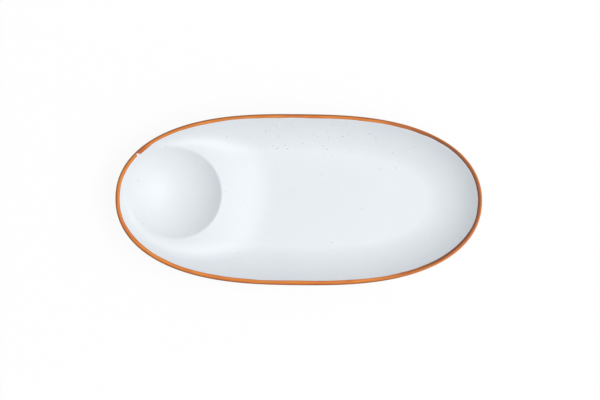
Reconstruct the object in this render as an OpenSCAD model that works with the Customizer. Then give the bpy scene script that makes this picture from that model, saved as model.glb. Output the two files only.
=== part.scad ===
// Oval chip and dip server: a one-piece fired stoneware tray with a round dip
// well sunk in one end, a white glaze coat over each side, a coloured glaze
// band round the lip and a bare foot ring. Sizes are in millimetres.
//
// The origin is on the table under the middle of the tray. +X runs along the
// tray to its plain end, the dip well is towards -X, and +Z is up.
//
// Every skin of the tray is one height function, skin_z(x, y, depth): depth 0
// is the face that food touches, and wall_t is the face underneath. The clay
// and the glaze meet on shared skins, so they touch face to face.

/* [Tray] */
// Overall length
tray_length = 300; // [250:1:380]
// Overall width
tray_width = 140; // [132:1:180]
// Height of the lip above the table
tray_height = 32; // [28:1:40]
// Squareness of the long sides, where 2 is an ellipse
side_power = 2.7; // [2.3:0.05:3.4]
// Squareness of the two ends, where 2 is an ellipse
end_power = 2.14; // [2:0.02:2.6]
// Thickness of the finished wall, with its glaze
wall_t = 4.6; // [3.6:0.1:6]
// Height of the glazed floor above the table
floor_z = 9; // [8:0.5:12]
// Width of the curved wall at the two ends, from the outline to the flat floor
wall_run = 43; // [36:1:48]
// Width of the curved wall along the two long sides
side_run = 31; // [26:1:36]

/* [Dip well] */
// Radius of the well at its crest
well_r = 37.5; // [30:0.5:38]
// Distance from the end of the tray to the crest of the well
well_gap = 11.7; // [8:0.1:30]
// Distance of the well's centre from the tray's long axis
well_y = 4; // [0:0.5:5]
// Height of the bottom of the well above the table
well_z = 7; // [6.5:0.5:9]
// Height of the crest between the well and the tray floor
crest_z = 23; // [17:0.5:25]
// Fall of the crest's outer slope, in millimetres a millimetre
crest_fall = 0.6; // [0.4:0.05:0.8]
// Height over which the outer slope blends into the floor and the wall
slope_blend = 12; // [6:0.5:13]
// Height over which the crest itself is rounded
crest_blend = 2; // [1:0.5:6]

/* [Foot ring] */
// Distance in from the ends of the outline to the outer face of the foot
foot_inset = 38; // [34:1:44]
// Width of the foot ring
foot_t = 4; // [3:0.5:6]
// Bevel on the two bottom edges of the foot
foot_bevel = 0.8; // [0.4:0.1:1.2]

/* [Glaze] */
// Thickness of the glaze coats and of the lip's band
glaze_t = 0.5; // [0.3:0.05:0.8]
// Angle over the round lip at which the band's inner edge stops
band_edge = 8; // [5:1:50]
// Depth of the band below the lip on the outside
band_drop = 8; // [6:0.5:12]

/* [Hidden] */

clay_colour = "#c9a27c";
glaze_colour = "#eef1f5";
band_colour = "#d07a34";

sectors = 72;
halvings = 18;
half_l = tray_length / 2;
half_w = tray_width / 2;

// The wall's section is an arc, tangent to the floor, that ends in the round lip
lip_r = wall_t / 2;
arc_run = wall_run - lip_r;
arc_rise = tray_height - floor_z;
arc_r = (arc_run * arc_run + arc_rise * arc_rise) / (2 * arc_rise) - lip_r;
arc_top = floor_z + arc_r;
lip_angle = atan2(arc_run, arc_r + lip_r - arc_rise);
band_end = acos((arc_top - tray_height + band_drop) / (arc_r + wall_t));

// The well is part of a sphere
well = [well_r + well_gap - half_l, well_y];
well_depth = crest_z - well_z;
dish_r = (well_r * well_r + well_depth * well_depth) / (2 * well_depth);
dish_flare = 0.1;

// The base rings close in on a point under the crest, where the base is most curved
base_hub = [well[0] + well_r, 0];

// Rings of the top skin: shares of the well's radius, distances either side of
// its crest, then how many cover the floor, the wall, the lip and the underside
dish_shares = [0.3, 0.55, 0.76, 0.9];
crest_steps = [-1.2, 0, 1.2, 3];
floor_rings = 7;
floor_crowding = 1.7;
wall_rings = 7;
lip_rings_n = 6;
band_rings = 2;
outer_rings_n = 7;
base_shares = [1, 0.88, 0.75, 0.6, 0.44, 0.28, 0.12];
least_gap_share = 0.6;

function signed_pow(v, p) = sign(v) * pow(abs(v), p);
function smooth_min(a, b, k) = min(a, b) - pow(max(k - abs(a - b), 0), 2) / (4 * k);
function smooth_max(a, b, k) = -smooth_min(-a, -b, k);
function flat(p) = [p[0], p[1]];

// Half the length and half the width of the oval that lies the distance inset inside
// the outline's ends. It is as far inside the long sides at the lip, and less by the floor.
function oval_half_l(inset) = half_l - inset;
function oval_half_w(inset) = half_w - inset + (wall_run - side_run) * pow(inset / wall_run, 2);
function on_oval(j, across_l, across_w) = let (angle = 360 * j / sectors) [
    across_l * signed_pow(cos(angle), 2 / side_power),
    across_w * signed_pow(sin(angle), 2 / end_power)];
function oval_point(j, inset) = on_oval(j, oval_half_l(inset), oval_half_w(inset));
function foot_point(j, inside) =
    on_oval(j, oval_half_l(foot_inset) - inside, oval_half_w(foot_inset) - inside);

// How far inside the outline a point lies, no more than wall_run, by halving
function oval_fill(x, y, inset) =
    pow(abs(x) / oval_half_l(inset), side_power) + pow(abs(y) / oval_half_w(inset), end_power);
function inset_of(x, y, low = 0, high = wall_run, left = halvings) =
    let (mid = (low + high) / 2)
    left == 0 ? mid
    : oval_fill(x, y, mid) < 1 ? inset_of(x, y, mid, high, left - 1)
    : inset_of(x, y, low, mid, left - 1);

// The three surfaces that make the skin, each taken down by depth along its normal
function wall_z(inset, depth) =
    arc_top - sqrt(pow(arc_r + depth, 2) - pow(wall_run - inset, 2));
function slope_z(r, depth) =
    crest_z - crest_fall * (r - well_r) - depth * sqrt(1 + crest_fall * crest_fall);
function dish_z(r, depth) =
    let (past = max(r - well_r, 0), edge = well_r / sqrt(pow(dish_r + depth, 2) - well_r * well_r))
    well_z + dish_r - sqrt(pow(dish_r + depth, 2) - pow(min(r, well_r), 2))
    + edge * past + dish_flare * past * past;
function skin_z(x, y, depth) = let (r = norm([x, y] - well))
    smooth_min(
        smooth_max(wall_z(inset_of(x, y), depth), slope_z(r, depth), slope_blend),
        dish_z(r, depth),
        crest_blend);
function on_skin(p, depth) = [p[0], p[1], skin_z(p[0], p[1], depth)];

// Rings are lists of points, one for each sector
function section_ring(inset, z) =
    [for (j = [0 : sectors - 1]) let (p = oval_point(j, inset)) [p[0], p[1], z]];
function arc_ring(angle, depth) = section_ring(
    wall_run - (arc_r + depth) * sin(angle), arc_top - (arc_r + depth) * cos(angle));
function lip_ring(turn, depth) = section_ring(
    lip_r + (lip_r - depth) * sin(lip_angle - turn),
    tray_height - lip_r + (lip_r - depth) * cos(lip_angle - turn));
function skin_ring(points, depth) = [for (p = points) on_skin(p, depth)];

// Plan of the top skin: circles round the well, then out over the floor and the wall
function lip_plan(depth) = [for (p = arc_ring(lip_angle, depth)) flat(p)];
function crest_plan(r, lip) =
    [for (p = lip) well + r * (p - well) / norm(p - well)];
function floor_edge_plan(crest, lip) = [for (j = [0 : sectors - 1])
    let (gap = norm(lip[j] - crest[j]), inward = oval_point(j, wall_run) - lip[j])
    lip[j] + inward * min(1, least_gap_share * gap / norm(inward))];
function between(from, to, share) =
    [for (j = [0 : sectors - 1]) from[j] + (to[j] - from[j]) * share];

function top_rings(depth) =
    let (
        lip = lip_plan(depth),
        crest = crest_plan(well_r + crest_steps[len(crest_steps) - 1], lip),
        floor_edge = floor_edge_plan(crest, lip))
    concat(
        [for (share = dish_shares) skin_ring(crest_plan(well_r * share, lip), depth)],
        [for (step = crest_steps) skin_ring(crest_plan(well_r + step, lip), depth)],
        [for (k = [1 : floor_rings])
            skin_ring(between(crest, floor_edge, pow(k / floor_rings, floor_crowding)), depth)],
        [for (k = [1 : wall_rings - 1])
            skin_ring(between(floor_edge, lip, k / wall_rings), depth)],
        [arc_ring(lip_angle, depth), lip_ring(band_edge, depth)]);
function band_skin_rings(depth) = concat(
    [for (k = [0 : lip_rings_n])
        lip_ring(band_edge + (180 - band_edge) * k / lip_rings_n, depth)],
    [for (k = [1 : band_rings])
        arc_ring(lip_angle + (band_end - lip_angle) * k / band_rings, wall_t - depth)]);
function outer_rings(depth) =
    let (start = wall_run - (arc_r + depth) * sin(band_end))
    concat(
        [arc_ring(band_end, depth)],
        [for (k = [1 : outer_rings_n])
            skin_ring(
                [for (j = [0 : sectors - 1])
                    oval_point(j, start + (foot_inset - start) * k / outer_rings_n)],
                depth)]);
function foot_ring(inside, z) =
    [for (j = [0 : sectors - 1]) let (p = foot_point(j, inside)) [p[0], p[1], z]];
function foot_rings() = [
    foot_ring(0, foot_bevel),
    foot_ring(foot_bevel, 0),
    foot_ring(foot_t - foot_bevel, 0),
    foot_ring(foot_t, foot_bevel)];
function base_rings(depth) = [for (share = base_shares)
    skin_ring(
        [for (j = [0 : sectors - 1]) base_hub + (foot_point(j, foot_t) - base_hub) * share],
        depth)];

// Faces between neighbouring rings. The diagonal of each quad is the same on
// both sides of a shared skin, and up turns the faces over.
function turned(face, up) = up ? [face[2], face[1], face[0]] : face;
function strip_faces(a, b, up) = [for (j = [0 : sectors - 1], half = [0, 1])
    let (n = (j + 1) % sectors)
    turned(half == 0 ? [a + j, a + n, b + n] : [a + j, b + n, b + j], up)];
function sheet_faces(first, count, up) =
    [for (k = [0 : count - 2])
        each strip_faces(first + k * sectors, first + (k + 1) * sectors, up)];
function fan_faces(centre, ring, up) =
    [for (j = [0 : sectors - 1]) turned([centre, ring + (j + 1) % sectors, ring + j], up)];
function joined(rings) = [for (ring = rings) each ring];

// A closed coat between an upper and a lower sheet of as many rings
module coat(upper, lower) {
    count = len(upper);
    last = (count - 1) * sectors;
    other = count * sectors;
    polyhedron(
        joined(concat(upper, lower)),
        concat(
            sheet_faces(0, count, true),
            sheet_faces(other, count, false),
            strip_faces(last, other + last, true),
            strip_faces(0, other, false)));
}

// The same for a coat that has a middle, where each sheet closes on one point
module filled_coat(upper, upper_middle, lower, lower_middle, outward) {
    count = len(upper);
    rim = outward ? (count - 1) * sectors : 0;
    inner = outward ? 0 : (count - 1) * sectors;
    other = count * sectors;
    middle = 2 * other;
    polyhedron(
        concat(joined(concat(upper, lower)), [upper_middle, lower_middle]),
        concat(
            sheet_faces(0, count, outward),
            sheet_faces(other, count, !outward),
            fan_faces(middle, inner, true),
            fan_faces(middle + 1, other + inner, false),
            strip_faces(rim, other + rim, true)));
}

module stoneware_body() {
    over = concat(top_rings(glaze_t), [for (k = [1 : lip_rings_n + band_rings])
        band_skin_rings(glaze_t)[k]]);
    under = concat([for (k = [1 : outer_rings_n]) outer_rings(wall_t - glaze_t)[k]],
        foot_rings(), base_rings(wall_t - glaze_t));
    rings = concat(over, under);
    middle = len(rings) * sectors;
    color(clay_colour)
    polyhedron(
        concat(joined(rings), [on_skin(well, glaze_t), on_skin(base_hub, wall_t - glaze_t)]),
        concat(
            sheet_faces(0, len(rings), true),
            fan_faces(middle, 0, true),
            fan_faces(middle + 1, (len(rings) - 1) * sectors, false)));
}

module top_glaze() {
    color(glaze_colour)
    filled_coat(top_rings(0), on_skin(well, 0),
        top_rings(glaze_t), on_skin(well, glaze_t), true);
}

module outer_glaze() {
    color(glaze_colour)
    coat(outer_rings(wall_t), outer_rings(wall_t - glaze_t));
}

module base_glaze() {
    depth = wall_t - glaze_t;
    color(glaze_colour)
    filled_coat(base_rings(depth), on_skin(base_hub, depth),
        base_rings(wall_t), on_skin(base_hub, wall_t), false);
}

module rim_band() {
    color(band_colour)
    coat(band_skin_rings(0), band_skin_rings(glaze_t));
}

stoneware_body();
top_glaze();
outer_glaze();
base_glaze();
rim_band();
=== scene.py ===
"""The looks of an oval stoneware chip and dip server: smooth glazed pieces, a studio and a camera overhead.

Sizes are in metres. The tray lies along X with its dip well towards -X, and z = 0 is the table.
"""

import math

import bmesh
import bpy
import numpy as np
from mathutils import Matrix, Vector


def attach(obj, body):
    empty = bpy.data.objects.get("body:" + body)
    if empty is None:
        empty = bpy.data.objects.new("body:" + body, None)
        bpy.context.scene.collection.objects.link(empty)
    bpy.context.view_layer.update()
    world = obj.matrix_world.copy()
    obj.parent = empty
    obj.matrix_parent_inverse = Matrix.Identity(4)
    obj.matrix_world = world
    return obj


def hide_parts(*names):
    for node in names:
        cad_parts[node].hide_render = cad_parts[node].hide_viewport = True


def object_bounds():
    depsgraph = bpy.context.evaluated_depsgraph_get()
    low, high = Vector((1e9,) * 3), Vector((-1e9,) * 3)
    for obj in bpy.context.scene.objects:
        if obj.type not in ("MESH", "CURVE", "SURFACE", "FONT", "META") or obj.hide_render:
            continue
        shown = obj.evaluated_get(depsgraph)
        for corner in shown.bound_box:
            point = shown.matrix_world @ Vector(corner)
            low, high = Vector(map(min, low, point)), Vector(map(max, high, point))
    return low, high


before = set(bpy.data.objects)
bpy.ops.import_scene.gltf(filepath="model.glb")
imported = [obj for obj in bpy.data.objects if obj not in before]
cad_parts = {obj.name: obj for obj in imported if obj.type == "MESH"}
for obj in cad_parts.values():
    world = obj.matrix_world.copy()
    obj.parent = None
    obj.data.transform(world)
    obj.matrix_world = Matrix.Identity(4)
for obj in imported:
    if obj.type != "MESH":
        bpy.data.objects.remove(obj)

cad_low, cad_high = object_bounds()

MM = 0.001

# The tray, worked out from the frame's own box where that gives it
HALF_L = cad_high.x
HALF_W = cad_high.y
LIP_TOP = cad_high.z
SIDE_POWER = 2.7
END_POWER = 2.14
WALL_T = 4.6 * MM
FLOOR_Z = 9 * MM
WALL_RUN = 43 * MM
SIDE_RUN = 31 * MM

# The dip well and the crest round it
WELL_R = 37.5 * MM
WELL_GAP = 11.7 * MM
WELL = np.array((WELL_R + WELL_GAP - HALF_L, 4 * MM))
WELL_Z = 7 * MM
CREST_Z = 23 * MM
CREST_FALL = 0.6
SLOPE_BLEND = 12 * MM
CREST_BLEND = 2 * MM

# The foot ring and the glaze
FOOT_INSET = 38 * MM
FOOT_T = 4 * MM
FOOT_BEVEL = 0.8 * MM
GLAZE_T = 0.5 * MM
BAND_EDGE = math.radians(8)
BAND_DROP = 8 * MM

# What follows from them
LIP_R = WALL_T / 2
ARC_RUN = WALL_RUN - LIP_R
ARC_RISE = LIP_TOP - FLOOR_Z
ARC_R = (ARC_RUN**2 + ARC_RISE**2) / (2 * ARC_RISE) - LIP_R
ARC_TOP = FLOOR_Z + ARC_R
LIP_ANGLE = math.atan2(ARC_RUN, ARC_R + LIP_R - ARC_RISE)
BAND_END = math.acos((ARC_TOP - LIP_TOP + BAND_DROP) / (ARC_R + WALL_T))
WELL_DEPTH = CREST_Z - WELL_Z
DISH_R = (WELL_R**2 + WELL_DEPTH**2) / (2 * WELL_DEPTH)
DISH_FLARE = 0.1 / MM
BASE_HUB = np.array((WELL[0] + WELL_R, 0.0))

# How finely the smooth pieces are made
SECTORS = 240
HALVINGS = 26
DISH_RINGS = 14
CREST_STEPS = np.linspace(-3, 4, 13) * MM
FLOOR_RINGS = 26
FLOOR_CROWDING = 1.5
LEAST_GAP_SHARE = 0.6
WALL_RINGS = 18
LIP_RINGS = 22
BAND_RINGS = 5
OUTER_RINGS = 40
FOOT_RINGS = 5
BASE_RINGS = 40
EDGE_TURN = math.radians(1.5)

# The painted band starts and stops at the back of the well's end. Its inner edge is
# drawn in along the back and wanders. The brush leaves a bite of bare white at the
# start, and a wider, redder stretch at the stop.
BRUSH_START = math.radians(149)
BACK_NARROWING = 0.7 * MM
EDGE_WANDER = 0.55 * MM
BITE_LENGTH = 2.4 * MM
BITE_DEPTH = 1.9 * MM
LOADED_LENGTH = 16 * MM
LOADED_WIDENING = 1.2 * MM

# The glazes' and the clay's colours
GLAZE_COOL = (0.792, 0.830, 0.866)
GLAZE_WARM = (0.812, 0.846, 0.876)
GLAZE_GRAIN = (0.74, 0.772, 0.81)
PALE_SPECK = (0.62, 0.64, 0.66)
FINE_SPECK = (0.27, 0.22, 0.18)
COARSE_SPECK = (0.30, 0.22, 0.16)
BAND_ORANGE = (0.78, 0.240, 0.026)
BAND_BROWN = (0.68, 0.170, 0.014)
BAND_LOADED = (0.44, 0.072, 0.010)
LIGHT_STREAK = (0.86, 0.32, 0.06)
DARK_STREAK = (0.46, 0.105, 0.010)
# The dark brown of the band's thin iron line, and of the painted shade on the lip's inner side at the plain
# end and its outer side at the well end
BAND_IRON_AND_SHADE = (0.15, 0.036, 0.006)
BAND_SPOT = (0.12, 0.05, 0.02)
CLAY_BUFF = (0.52, 0.36, 0.235)
CLAY_PALE = (0.62, 0.46, 0.32)
CLAY_SAND = (0.70, 0.56, 0.42)
CLAY_GROG = (0.30, 0.18, 0.11)

# The key lamp's light, the fill's, and how much of the table's white is its own
KEY_POWER = 90
KEY_COLOUR = (1, 0.99, 0.975)
FILL_LIGHT = 0.56
TABLE_GLOW = 0.9


# ---------------------------------------------------------------- the tray's form

def signed_pow(v, p):
    return np.sign(v) * np.abs(v) ** p


def smooth_min(a, b, k):
    return np.minimum(a, b) - np.maximum(k - np.abs(a - b), 0) ** 2 / (4 * k)


def smooth_max(a, b, k):
    return -smooth_min(-a, -b, k)


def oval_half_l(inset):
    return HALF_L - inset


def oval_half_w(inset):
    return HALF_W - inset + (WALL_RUN - SIDE_RUN) * (inset / WALL_RUN) ** 2


def on_oval(half_l, half_w):
    """A ring of plan points round an oval, one for each sector, from the brush's start."""
    angle = BRUSH_START + np.arange(SECTORS) * 2 * math.pi / SECTORS
    x = half_l * signed_pow(np.cos(angle), 2 / SIDE_POWER)
    y = half_w * signed_pow(np.sin(angle), 2 / END_POWER)
    return np.stack((x, y), axis=1)


def oval(inset):
    return on_oval(oval_half_l(inset), oval_half_w(inset))


def foot_oval(inside):
    return on_oval(oval_half_l(FOOT_INSET) - inside, oval_half_w(FOOT_INSET) - inside)


def inset_of(plan):
    """How far inside the outline each plan point lies, no more than the wall's run, by halving."""
    low = np.zeros(len(plan))
    high = np.full(len(plan), WALL_RUN)
    for _ in range(HALVINGS):
        mid = (low + high) / 2
        across_l = (np.abs(plan[:, 0]) / oval_half_l(mid)) ** SIDE_POWER
        across_w = (np.abs(plan[:, 1]) / oval_half_w(mid)) ** END_POWER
        inside = across_l + across_w < 1
        low = np.where(inside, mid, low)
        high = np.where(inside, high, mid)
    return (low + high) / 2


def skin_z(plan, depth):
    """Height of the skin that lies depth below the face that food touches."""
    r = np.linalg.norm(plan - WELL, axis=1)
    wall = ARC_TOP - np.sqrt((ARC_R + depth) ** 2 - (WALL_RUN - inset_of(plan)) ** 2)
    slope = CREST_Z - CREST_FALL * (r - WELL_R) - depth * math.sqrt(1 + CREST_FALL**2)
    past = np.maximum(r - WELL_R, 0)
    dish_r = DISH_R + depth
    edge = WELL_R / math.sqrt(dish_r**2 - WELL_R**2)
    dish = WELL_Z + DISH_R - np.sqrt(dish_r**2 - np.minimum(r, WELL_R) ** 2)
    dish = dish + edge * past + DISH_FLARE * past**2
    return smooth_min(smooth_max(wall, slope, SLOPE_BLEND), dish, CREST_BLEND)


def skin_ring(plan, depth):
    return np.column_stack((plan, skin_z(plan, depth)))


def level_ring(plan, z):
    return np.column_stack((plan, np.full(len(plan), z)))


def arc_ring(angle, depth):
    """A ring on the curved wall, at an angle up from its foot."""
    radius = ARC_R + depth
    return level_ring(oval(WALL_RUN - radius * math.sin(angle)), ARC_TOP - radius * math.cos(angle))


def lip_ring(turn, depth):
    """A ring on the round lip, turned outwards over it from the wall's inner face."""
    radius = LIP_R - depth
    angle = LIP_ANGLE - turn
    return level_ring(oval(LIP_R + radius * math.sin(angle)), LIP_TOP - LIP_R + radius * math.cos(angle))


def well_plan(r, lip):
    """A circle round the well, each of its points in line with the lip's."""
    ray = lip - WELL
    return WELL + r * ray / np.linalg.norm(ray, axis=1, keepdims=True)


def top_rings(depth):
    """From the middle of the well out to the painted band."""
    lip = arc_ring(LIP_ANGLE, depth)[:, :2]
    crest = well_plan(WELL_R + CREST_STEPS[-1], lip)
    inward = oval(WALL_RUN) - lip
    gap = np.linalg.norm(lip - crest, axis=1) / np.linalg.norm(inward, axis=1)
    floor_edge = lip + inward * np.minimum(1, LEAST_GAP_SHARE * gap)[:, None]
    dish_end = WELL_R + CREST_STEPS[0]
    rings = [skin_ring(np.tile(WELL, (SECTORS, 1)), depth)]
    for k in range(1, DISH_RINGS):
        rings.append(skin_ring(well_plan(dish_end * k / DISH_RINGS, lip), depth))
    for step in CREST_STEPS:
        rings.append(skin_ring(well_plan(WELL_R + step, lip), depth))
    for k in range(1, FLOOR_RINGS + 1):
        share = (k / FLOOR_RINGS) ** FLOOR_CROWDING
        rings.append(skin_ring(crest + (floor_edge - crest) * share, depth))
    for k in range(1, WALL_RINGS):
        rings.append(skin_ring(floor_edge + (lip - floor_edge) * k / WALL_RINGS, depth))
    rings.append(arc_ring(LIP_ANGLE, depth))
    rings.append(lip_ring(BAND_EDGE / 2, depth))
    rings.append(lip_ring(BAND_EDGE - EDGE_TURN, depth))
    rings.append(lip_ring(BAND_EDGE, depth))
    return rings


def band_rings(depth):
    """Over the lip and down the outside, as far as the band's lower edge."""
    turns = np.linspace(BAND_EDGE, math.pi, LIP_RINGS + 1)
    rings = [lip_ring(BAND_EDGE, depth), lip_ring(BAND_EDGE + EDGE_TURN, depth)]
    rings += [lip_ring(turn, depth) for turn in turns[1:]]
    for k in range(1, BAND_RINGS + 1):
        angle = LIP_ANGLE + (BAND_END - LIP_ANGLE) * k / BAND_RINGS
        rings.append(arc_ring(angle, WALL_T - depth))
    return rings


def outer_rings(depth):
    """From the band's lower edge in to the foot."""
    start = WALL_RUN - (ARC_R + depth) * math.sin(BAND_END)
    rings = [arc_ring(BAND_END, depth)]
    for k in range(1, OUTER_RINGS + 1):
        rings.append(skin_ring(oval(start + (FOOT_INSET - start) * k / OUTER_RINGS), depth))
    return rings


def base_rings(depth):
    """From the inside of the foot to a point under the crest."""
    rings = []
    for k in range(BASE_RINGS + 1):
        share = 1 - k / BASE_RINGS
        rings.append(skin_ring(BASE_HUB + (foot_oval(FOOT_T) - BASE_HUB) * share, depth))
    return rings


def foot_rings():
    """Down, across and up the foot, with its two bottom edges rounded."""
    rings = []
    for k in range(FOOT_RINGS + 1):
        turn = math.pi / 2 * k / FOOT_RINGS
        inside = FOOT_BEVEL * (1 - math.cos(turn))
        rings.append(level_ring(foot_oval(inside), FOOT_BEVEL * (1 - math.sin(turn))))
    for k in range(FOOT_RINGS + 1):
        turn = math.pi / 2 * k / FOOT_RINGS
        inside = FOOT_T - FOOT_BEVEL * (1 - math.sin(turn))
        rings.append(level_ring(foot_oval(inside), FOOT_BEVEL * (1 - math.cos(turn))))
    return rings


# ---------------------------------------------------------------- making the pieces

def place_selected(piece, rings, k):
    """Moves the selected points to their places on ring k, each by its own sector."""
    mesh = bmesh.from_edit_mesh(piece.data)
    sector = mesh.verts.layers.int["sector"]
    ring = mesh.verts.layers.int["ring"]
    for vertex in mesh.verts:
        if vertex.select:
            vertex[ring] = k
            vertex.co = Vector(rings[k][vertex[sector]])
    bmesh.update_edit_mesh(piece.data)


def throw_piece(name, rings):
    """Raises a closed piece from a circle, extruding and shaping one ring after another."""
    bpy.ops.object.select_all(action="DESELECT")
    bpy.ops.mesh.primitive_circle_add(vertices=SECTORS, radius=HALF_W)
    piece = bpy.context.object
    piece.name = name
    piece.data.name = name
    sectors = piece.data.attributes.new("sector", "INT", "POINT")
    sectors.data.foreach_set("value", range(SECTORS))
    piece.data.attributes.new("ring", "INT", "POINT")
    bpy.ops.object.mode_set(mode="EDIT")
    bpy.ops.mesh.select_all(action="SELECT")
    place_selected(piece, rings, 0)
    for k in range(1, len(rings)):
        bpy.ops.mesh.extrude_region_move()
        place_selected(piece, rings, k)
    bpy.ops.mesh.select_all(action="SELECT")
    bpy.ops.mesh.remove_doubles(threshold=0.2e-6)
    bpy.ops.mesh.normals_make_consistent(inside=False)
    bpy.ops.object.mode_set(mode="OBJECT")
    bpy.ops.object.shade_smooth_by_angle(angle=math.radians(40))
    return piece


def stands_for(piece, node, material):
    piece.data.materials.clear()
    piece.data.materials.append(material)
    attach(piece, "root")
    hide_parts(node)


# ---------------------------------------------------------------- shader tools

def new_material(name):
    material = bpy.data.materials.new(name)
    material.use_nodes = True
    nodes = material.node_tree.nodes
    return material, nodes, material.node_tree.links, nodes["Principled BSDF"]


def math_node(nodes, links, operation, a, b):
    node = nodes.new("ShaderNodeMath")
    node.operation = operation
    for socket, value in zip(node.inputs, (a, b)):
        if isinstance(value, (int, float)):
            socket.default_value = value
        else:
            links.new(value, socket)
    return node.outputs[0]


def plus(nodes, links, a, b):
    return math_node(nodes, links, "ADD", a, b)


def minus(nodes, links, a, b):
    return math_node(nodes, links, "SUBTRACT", a, b)


def times(nodes, links, a, b):
    return math_node(nodes, links, "MULTIPLY", a, b)


def greater(nodes, links, a, b):
    return math_node(nodes, links, "MAXIMUM", a, b)


def fade(nodes, links, value, start, end):
    """0 at start and 1 at end, smoothly."""
    node = nodes.new("ShaderNodeMapRange")
    node.interpolation_type = "SMOOTHSTEP"
    links.new(value, node.inputs["Value"])
    node.inputs["From Min"].default_value = start
    node.inputs["From Max"].default_value = end
    return node.outputs["Result"]


def noise(nodes, links, coords, scale, detail=2.0, roughness=0.5):
    node = nodes.new("ShaderNodeTexNoise")
    links.new(coords, node.inputs["Vector"])
    node.inputs["Scale"].default_value = scale
    node.inputs["Detail"].default_value = detail
    node.inputs["Roughness"].default_value = roughness
    return node.outputs["Fac"]


def tint(nodes, links, mask, under, over):
    """The under colour, turning to the over colour where the mask is 1."""
    node = nodes.new("ShaderNodeMix")
    node.data_type = "RGBA"
    links.new(mask, node.inputs["Factor"])
    for socket, colour in ((node.inputs[6], under), (node.inputs[7], over)):
        if isinstance(colour, tuple):
            socket.default_value = (*colour, 1)
        else:
            links.new(colour, socket)
    return node.outputs[2]


def object_coords(nodes):
    return nodes.new("ShaderNodeTexCoord").outputs["Object"]


def make_specks_group():
    """Specks of iron that the kiln brings up: scattered dots of mixed sizes."""
    group = bpy.data.node_groups.new("kiln_specks", "ShaderNodeTree")
    face = group.interface
    face.new_socket("Coords", in_out="INPUT", socket_type="NodeSocketVector")
    face.new_socket("Cells", in_out="INPUT", socket_type="NodeSocketFloat")
    face.new_socket("Share", in_out="INPUT", socket_type="NodeSocketFloat")
    face.new_socket("Radius", in_out="INPUT", socket_type="NodeSocketFloat")
    face.new_socket("Mask", in_out="OUTPUT", socket_type="NodeSocketFloat")
    nodes, links = group.nodes, group.links
    given = nodes.new("NodeGroupInput")
    result = nodes.new("NodeGroupOutput")
    cells = nodes.new("ShaderNodeTexVoronoi")
    links.new(given.outputs["Coords"], cells.inputs["Vector"])
    links.new(given.outputs["Cells"], cells.inputs["Scale"])
    chance = nodes.new("ShaderNodeSeparateColor")
    links.new(cells.outputs["Color"], chance.inputs["Color"])
    chosen = math_node(nodes, links, "LESS_THAN", chance.outputs[0], given.outputs["Share"])
    size = times(nodes, links, chance.outputs[1], given.outputs["Radius"])
    least = times(nodes, links, given.outputs["Radius"], 0.4)
    size = plus(nodes, links, size, least)
    share = math_node(nodes, links, "DIVIDE", cells.outputs["Distance"], size)
    dot = fade(nodes, links, share, 1.0, 0.45)
    links.new(times(nodes, links, dot, chosen), result.inputs["Mask"])
    return group


def specks(nodes, links, group, coords, cells, share, radius):
    node = nodes.new("ShaderNodeGroup")
    node.node_tree = group
    links.new(coords, node.inputs["Coords"])
    node.inputs["Cells"].default_value = cells
    node.inputs["Radius"].default_value = radius
    if isinstance(share, float):
        node.inputs["Share"].default_value = share
    else:
        links.new(share, node.inputs["Share"])
    return node.outputs["Mask"]


def make_glaze_group(specks_group):
    """White glaze: its colour, its roughness and the height of its skin."""
    group = bpy.data.node_groups.new("white_glaze", "ShaderNodeTree")
    face = group.interface
    face.new_socket("Coords", in_out="INPUT", socket_type="NodeSocketVector")
    face.new_socket("Color", in_out="OUTPUT", socket_type="NodeSocketColor")
    face.new_socket("Roughness", in_out="OUTPUT", socket_type="NodeSocketFloat")
    face.new_socket("Height", in_out="OUTPUT", socket_type="NodeSocketFloat")
    nodes, links = group.nodes, group.links
    coords = nodes.new("NodeGroupInput").outputs["Coords"]
    result = nodes.new("NodeGroupOutput")

    # Where the glaze lies a little thicker it is cooler, and where thinner it is warmer
    cloud = fade(nodes, links, noise(nodes, links, coords, 22, 3), 0.3, 0.7)
    colour = tint(nodes, links, cloud, GLAZE_COOL, GLAZE_WARM)
    grain = fade(nodes, links, noise(nodes, links, coords, 900, 2), 0.35, 0.7)
    grain = times(nodes, links, grain, 0.25)
    colour = tint(nodes, links, grain, colour, GLAZE_GRAIN)

    # Most of the iron specks lie along the middle of the back wall
    apart = nodes.new("ShaderNodeSeparateXYZ")
    links.new(coords, apart.inputs[0])
    along, across = apart.outputs["X"], apart.outputs["Y"]
    middle = fade(nodes, links, along, -0.045, -0.02)
    middle = times(nodes, links, middle, fade(nodes, links, along, 0.10, 0.07))
    back = times(nodes, links, fade(nodes, links, across, 0.032, 0.045), middle)
    share = plus(nodes, links, times(nodes, links, back, 0.3), 0.022)
    fine = specks(nodes, links, specks_group, coords, 400.0, share, 0.17)
    share = plus(nodes, links, times(nodes, links, back, 0.2), 0.03)
    coarse = specks(nodes, links, specks_group, coords, 210.0, share, 0.10)
    pale = specks(nodes, links, specks_group, coords, 420.0, 0.06, 0.16)
    colour = tint(nodes, links, times(nodes, links, pale, 0.35), colour, PALE_SPECK)
    colour = tint(nodes, links, times(nodes, links, fine, 0.8), colour, FINE_SPECK)
    colour = tint(nodes, links, times(nodes, links, coarse, 0.8), colour, COARSE_SPECK)
    links.new(colour, result.inputs["Color"])

    gloss = times(nodes, links, noise(nodes, links, coords, 60, 3), 0.14)
    links.new(plus(nodes, links, gloss, 0.4), result.inputs["Roughness"])

    # Orange peel, a faint swell from the pressing, and pits where the specks burnt out
    peel = times(nodes, links, noise(nodes, links, coords, 420, 2), 0.02)
    swell = times(nodes, links, noise(nodes, links, coords, 34, 2), 0.14)
    pits = times(nodes, links, plus(nodes, links, fine, coarse), -0.06)
    height = plus(nodes, links, plus(nodes, links, peel, swell), pits)
    links.new(height, result.inputs["Height"])
    return group


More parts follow.
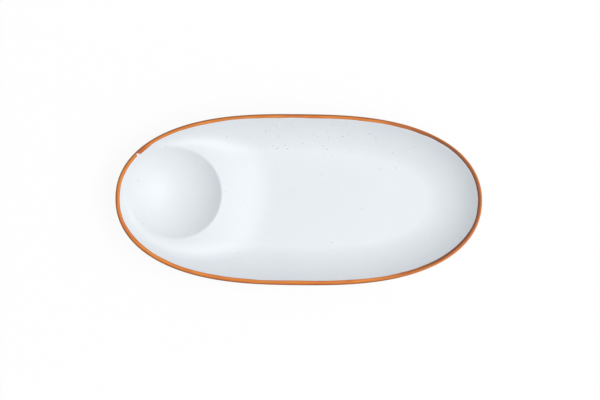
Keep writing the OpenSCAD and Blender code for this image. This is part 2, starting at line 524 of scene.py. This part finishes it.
def bump(nodes, links, shader, height, distance):
    node = nodes.new("ShaderNodeBump")
    node.inputs["Distance"].default_value = distance
    node.inputs["Strength"].default_value = 1.0
    links.new(height, node.inputs["Height"])
    links.new(node.outputs["Normal"], shader.inputs["Normal"])


def place_glaze(nodes, links, group):
    node = nodes.new("ShaderNodeGroup")
    node.node_tree = group
    links.new(object_coords(nodes), node.inputs["Coords"])
    return node


def make_white_glaze(group):
    material, nodes, links, shader = new_material("speckled_white_glaze")
    glaze = place_glaze(nodes, links, group)
    links.new(glaze.outputs["Color"], shader.inputs["Base Color"])
    links.new(glaze.outputs["Roughness"], shader.inputs["Roughness"])
    shader.inputs["IOR"].default_value = 1.5
    bump(nodes, links, shader, glaze.outputs["Height"], 0.5 * MM)
    return material


def make_band_glaze(glaze_group, specks_group, stroke):
    """Brushed orange-brown glaze over the white, on the band's own map: u along, v across.

    stroke is the whole length of the brush's stroke, from its start back to its stop.
    """
    material, nodes, links, shader = new_material("painted_band_glaze")
    under = place_glaze(nodes, links, glaze_group)
    uv = nodes.new("ShaderNodeUVMap")
    uv.uv_map = "brush"
    apart = nodes.new("ShaderNodeSeparateXYZ")
    links.new(uv.outputs["UV"], apart.inputs[0])
    along, across = apart.outputs["X"], apart.outputs["Y"]

    def stretched(scale_along, scale_across):
        node = nodes.new("ShaderNodeMapping")
        node.inputs["Scale"].default_value = (scale_along, scale_across, 1)
        links.new(uv.outputs["UV"], node.inputs["Vector"])
        return node.outputs["Vector"]

    # The brush's load, its streaks, and the wander of its inner edge, which runs
    # narrower along the back of the tray than along the front
    load = noise(nodes, links, stretched(24, 60), 1, 2)
    streaks = noise(nodes, links, stretched(60, 1100), 1, 3, 0.6)
    place = nodes.new("ShaderNodeSeparateXYZ")
    links.new(object_coords(nodes), place.inputs[0])
    back = times(nodes, links, fade(nodes, links, place.outputs["Y"], -0.04, 0.06), BACK_NARROWING)
    wander = noise(nodes, links, stretched(30, 0), 1, 3)
    wander = times(nodes, links, fade(nodes, links, wander, 0.3, 0.7), EDGE_WANDER)
    edge = plus(nodes, links, back, wander)

    # Where the stroke starts and stops, a bite of bare white reaches most of the way
    # across, and the stop is overloaded: wider and redder
    to_stop = minus(nodes, links, stroke, along)
    start_bite = fade(nodes, links, along, BITE_LENGTH, BITE_LENGTH / 4)
    stop_bite = fade(nodes, links, to_stop, 0.8 * MM, 0.3 * MM)
    bite = greater(nodes, links, start_bite, stop_bite)
    edge = plus(nodes, links, edge, times(nodes, links, bite, BITE_DEPTH))
    loaded = fade(nodes, links, to_stop, LOADED_LENGTH, 3 * MM)
    edge = minus(nodes, links, edge, times(nodes, links, loaded, LOADED_WIDENING))
    inner = minus(nodes, links, across, edge)

    colour = tint(nodes, links, fade(nodes, links, load, 0.36, 0.66), BAND_ORANGE, BAND_BROWN)
    colour = tint(nodes, links, times(nodes, links, loaded, 0.75), colour, BAND_LOADED)
    light = times(nodes, links, fade(nodes, links, streaks, 0.45, 0.8), 0.35)
    colour = tint(nodes, links, light, colour, LIGHT_STREAK)
    dark = times(nodes, links, fade(nodes, links, streaks, 0.52, 0.3), 0.6)
    colour = tint(nodes, links, dark, colour, DARK_STREAK)

    # Iron gathers in a thin darker line just inside the inner edge. Painted shade darkens the lip's inner
    # side broadly at the plain end, and the outside of the lip at the well's end, where the round lip turns
    # away from the key light
    plain_end = fade(nodes, links, place.outputs["X"], 0.05, 0.12)
    thin_line = times(nodes, links, fade(nodes, links, inner, 0.7 * MM, 0.1 * MM), 0.5)
    # Painted shade: the lip's inner side at the plain end, darkened as if turned from the light
    plain_end_painted_shade = times(nodes, links, fade(nodes, links, inner, 3.3 * MM, 2.0 * MM), plain_end)
    iron_line_and_painted_shade = greater(nodes, links, thin_line, times(nodes, links, plain_end_painted_shade, 0.9))
    # Painted shade: the lip's outer side at the well's end, darkened as if turned from the light
    outside = fade(nodes, links, across, 2.6 * MM, 4.0 * MM)
    well_end = minus(nodes, links, 0.7, times(nodes, links, plain_end, 0.7))
    well_end_painted_shade = times(nodes, links, outside, well_end)
    iron_and_painted_shade = greater(nodes, links, iron_line_and_painted_shade, well_end_painted_shade)
    colour = tint(nodes, links, iron_and_painted_shade, colour, BAND_IRON_AND_SHADE)
    spots = specks(nodes, links, specks_group, object_coords(nodes), 160.0, 0.04, 0.1)
    colour = tint(nodes, links, times(nodes, links, spots, 0.7), colour, BAND_SPOT)

    painted = fade(nodes, links, inner, -0.12 * MM, 0.12 * MM)
    colour = tint(nodes, links, painted, under.outputs["Color"], colour)
    links.new(colour, shader.inputs["Base Color"])
    links.new(under.outputs["Roughness"], shader.inputs["Roughness"])
    shader.inputs["IOR"].default_value = 1.5
    lift = times(nodes, links, painted, 0.12)
    height = plus(nodes, links, under.outputs["Height"], lift)
    height = plus(nodes, links, height, times(nodes, links, streaks, 0.05))
    bump(nodes, links, shader, height, 0.5 * MM)
    return material


def make_clay(specks_group):
    """Bare fired clay: buff, gritty and matt."""
    material, nodes, links, shader = new_material("bare_fired_clay")
    coords = object_coords(nodes)
    cloud = fade(nodes, links, noise(nodes, links, coords, 45, 4), 0.3, 0.7)
    colour = tint(nodes, links, cloud, CLAY_BUFF, CLAY_PALE)
    sand = fade(nodes, links, noise(nodes, links, coords, 1400, 2), 0.35, 0.65)
    colour = tint(nodes, links, times(nodes, links, sand, 0.4), colour, CLAY_SAND)
    grog = specks(nodes, links, specks_group, coords, 700.0, 0.25, 0.3)
    colour = tint(nodes, links, times(nodes, links, grog, 0.6), colour, CLAY_GROG)
    links.new(colour, shader.inputs["Base Color"])
    shader.inputs["IOR"].default_value = 1.45
    dull = times(nodes, links, sand, 0.12)
    links.new(plus(nodes, links, dull, 0.82), shader.inputs["Roughness"])
    height = plus(nodes, links, sand, times(nodes, links, grog, -0.8))
    bump(nodes, links, shader, height, 0.12 * MM)
    return material


# ---------------------------------------------------------------- the band's own map

def map_brush(piece, rings):
    """Maps the band, u along the lip and v across it from the inner edge, and returns its length."""
    loops_of = bmesh.new()
    loops_of.from_mesh(piece.data)
    sector = loops_of.verts.layers.int["sector"]
    ring = loops_of.verts.layers.int["ring"]
    uv = loops_of.loops.layers.uv.new("brush")
    top = rings[0]
    steps = np.linalg.norm(np.diff(np.vstack((top, top[:1])), axis=0), axis=1)
    along = np.concatenate(((0,), np.cumsum(steps)))
    across = [0.0]
    for before, after in zip(rings[:-1], rings[1:]):
        across.append(across[-1] + float(np.linalg.norm(after - before, axis=1).mean()))
    for face in loops_of.faces:
        wraps = {loop.vert[sector] for loop in face.loops} == {0, SECTORS - 1}
        for loop in face.loops:
            j = loop.vert[sector]
            if wraps and j == 0:
                j = SECTORS
            k = loop.vert[ring]
            loop[uv].uv = (along[j], across[k] if k < len(rings) else 0)
    loops_of.to_mesh(piece.data)
    loops_of.free()
    return float(along[-1])


# ---------------------------------------------------------------- the tray

specks_group = make_specks_group()
glaze_group = make_glaze_group(specks_group)
white_glaze = make_white_glaze(glaze_group)
clay = make_clay(specks_group)

glaze_back = WALL_T - GLAZE_T

over = top_rings(0)
basin = throw_piece("basin_and_well_glaze", over + top_rings(GLAZE_T)[::-1])
stands_for(basin, "top_glaze", white_glaze)

band_face = band_rings(0)
band = throw_piece("brushed_rim_band", band_face + band_rings(GLAZE_T)[::-1] + band_face[:1])
stroke = map_brush(band, band_face)
band_glaze = make_band_glaze(glaze_group, specks_group, stroke)
stands_for(band, "rim_band", band_glaze)

outer_face = outer_rings(WALL_T)
outer = throw_piece("outside_glaze", outer_face + outer_rings(glaze_back)[::-1] + outer_face[:1])
stands_for(outer, "outer_glaze", white_glaze)

base = throw_piece("underside_glaze", base_rings(WALL_T)[::-1] + base_rings(glaze_back))
stands_for(base, "base_glaze", white_glaze)

clay_rings = top_rings(GLAZE_T)
clay_rings += band_rings(GLAZE_T)[1:]
clay_rings += outer_rings(glaze_back)[1:]
clay_rings += foot_rings()
clay_rings += base_rings(glaze_back)
body = throw_piece("fired_clay_body", clay_rings)
stands_for(body, "stoneware_body", clay)


# ---------------------------------------------------------------- studio

def make_table():
    """A white table that shows to the camera as white, with the tray's soft shadow on it."""
    bpy.ops.mesh.primitive_plane_add(size=6, location=(0, 0, 0))
    table = bpy.context.object
    table.name = "table_top"
    material, nodes, links, shader = new_material("white_table")
    shader.inputs["Base Color"].default_value = (0.8, 0.8, 0.8, 1)
    shader.inputs["Roughness"].default_value = 0.9
    glow = nodes.new("ShaderNodeEmission")
    glow.inputs["Color"].default_value = (1, 1, 1, 1)
    glow.inputs["Strength"].default_value = 1.0
    bright = nodes.new("ShaderNodeBsdfDiffuse")
    bright.inputs["Color"].default_value = (1, 1, 1, 1)
    seen = nodes.new("ShaderNodeMixShader")
    seen.inputs["Fac"].default_value = TABLE_GLOW
    links.new(bright.outputs[0], seen.inputs[1])
    links.new(glow.outputs[0], seen.inputs[2])
    path = nodes.new("ShaderNodeLightPath")
    whose = nodes.new("ShaderNodeMixShader")
    links.new(path.outputs["Is Camera Ray"], whose.inputs["Fac"])
    links.new(shader.outputs[0], whose.inputs[1])
    links.new(seen.outputs[0], whose.inputs[2])
    links.new(whose.outputs[0], nodes["Material Output"].inputs["Surface"])
    table.data.materials.append(material)


def make_world():
    """Soft light from all round, which the camera and the glaze see as white."""
    world = bpy.data.worlds.new("studio")
    bpy.context.scene.world = world
    world.use_nodes = True
    nodes, links = world.node_tree.nodes, world.node_tree.links
    fill = nodes["Background"]
    fill.inputs["Color"].default_value = (0.97, 0.985, 1, 1)
    fill.inputs["Strength"].default_value = FILL_LIGHT
    white = nodes.new("ShaderNodeBackground")
    white.inputs["Color"].default_value = (1, 1, 1, 1)
    white.inputs["Strength"].default_value = 1.0
    path = nodes.new("ShaderNodeLightPath")
    shown = greater(nodes, links, path.outputs["Is Camera Ray"], path.outputs["Is Glossy Ray"])
    shown = greater(nodes, links, shown, path.outputs["Is Transmission Ray"])
    mix = nodes.new("ShaderNodeMixShader")
    links.new(shown, mix.inputs["Fac"])
    links.new(fill.outputs[0], mix.inputs[1])
    links.new(white.outputs[0], mix.inputs[2])
    links.new(mix.outputs[0], nodes["World Output"].inputs["Surface"])


def make_key(azimuth, elevation, distance, width, height):
    """A soft box, at an azimuth from +X and an elevation, facing the tray."""
    bpy.ops.object.light_add(type="AREA")
    lamp = bpy.context.object
    lamp.name = "key"
    lamp.data.shape = "RECTANGLE"
    lamp.data.size = width
    lamp.data.size_y = height
    lamp.data.energy = KEY_POWER
    lamp.data.color = KEY_COLOUR
    a, e = math.radians(azimuth), math.radians(elevation)
    place = Vector((math.cos(a) * math.cos(e), math.sin(a) * math.cos(e), math.sin(e))) * distance
    lamp.location = place
    lamp.rotation_euler = (-place).to_track_quat("-Z", "Y").to_euler()


def make_camera():
    """Straight overhead, the tray lying a hair off square in the frame."""
    bpy.ops.object.camera_add()
    camera = bpy.context.object
    camera.name = "camera"
    camera.data.lens = 100
    camera.data.sensor_width = 36
    frame_width = 490 * MM
    height = LIP_TOP + frame_width * camera.data.lens / camera.data.sensor_width
    camera.location = (1.0 * MM, -0.25 * MM, height)
    camera.rotation_euler = (0, 0, math.radians(0.56))
    bpy.context.scene.camera = camera


make_table()
make_world()
make_key(azimuth=-8, elevation=60, distance=4, width=3.2, height=1.8)
make_camera()
bpy.context.scene.view_settings.view_transform = "Standard"
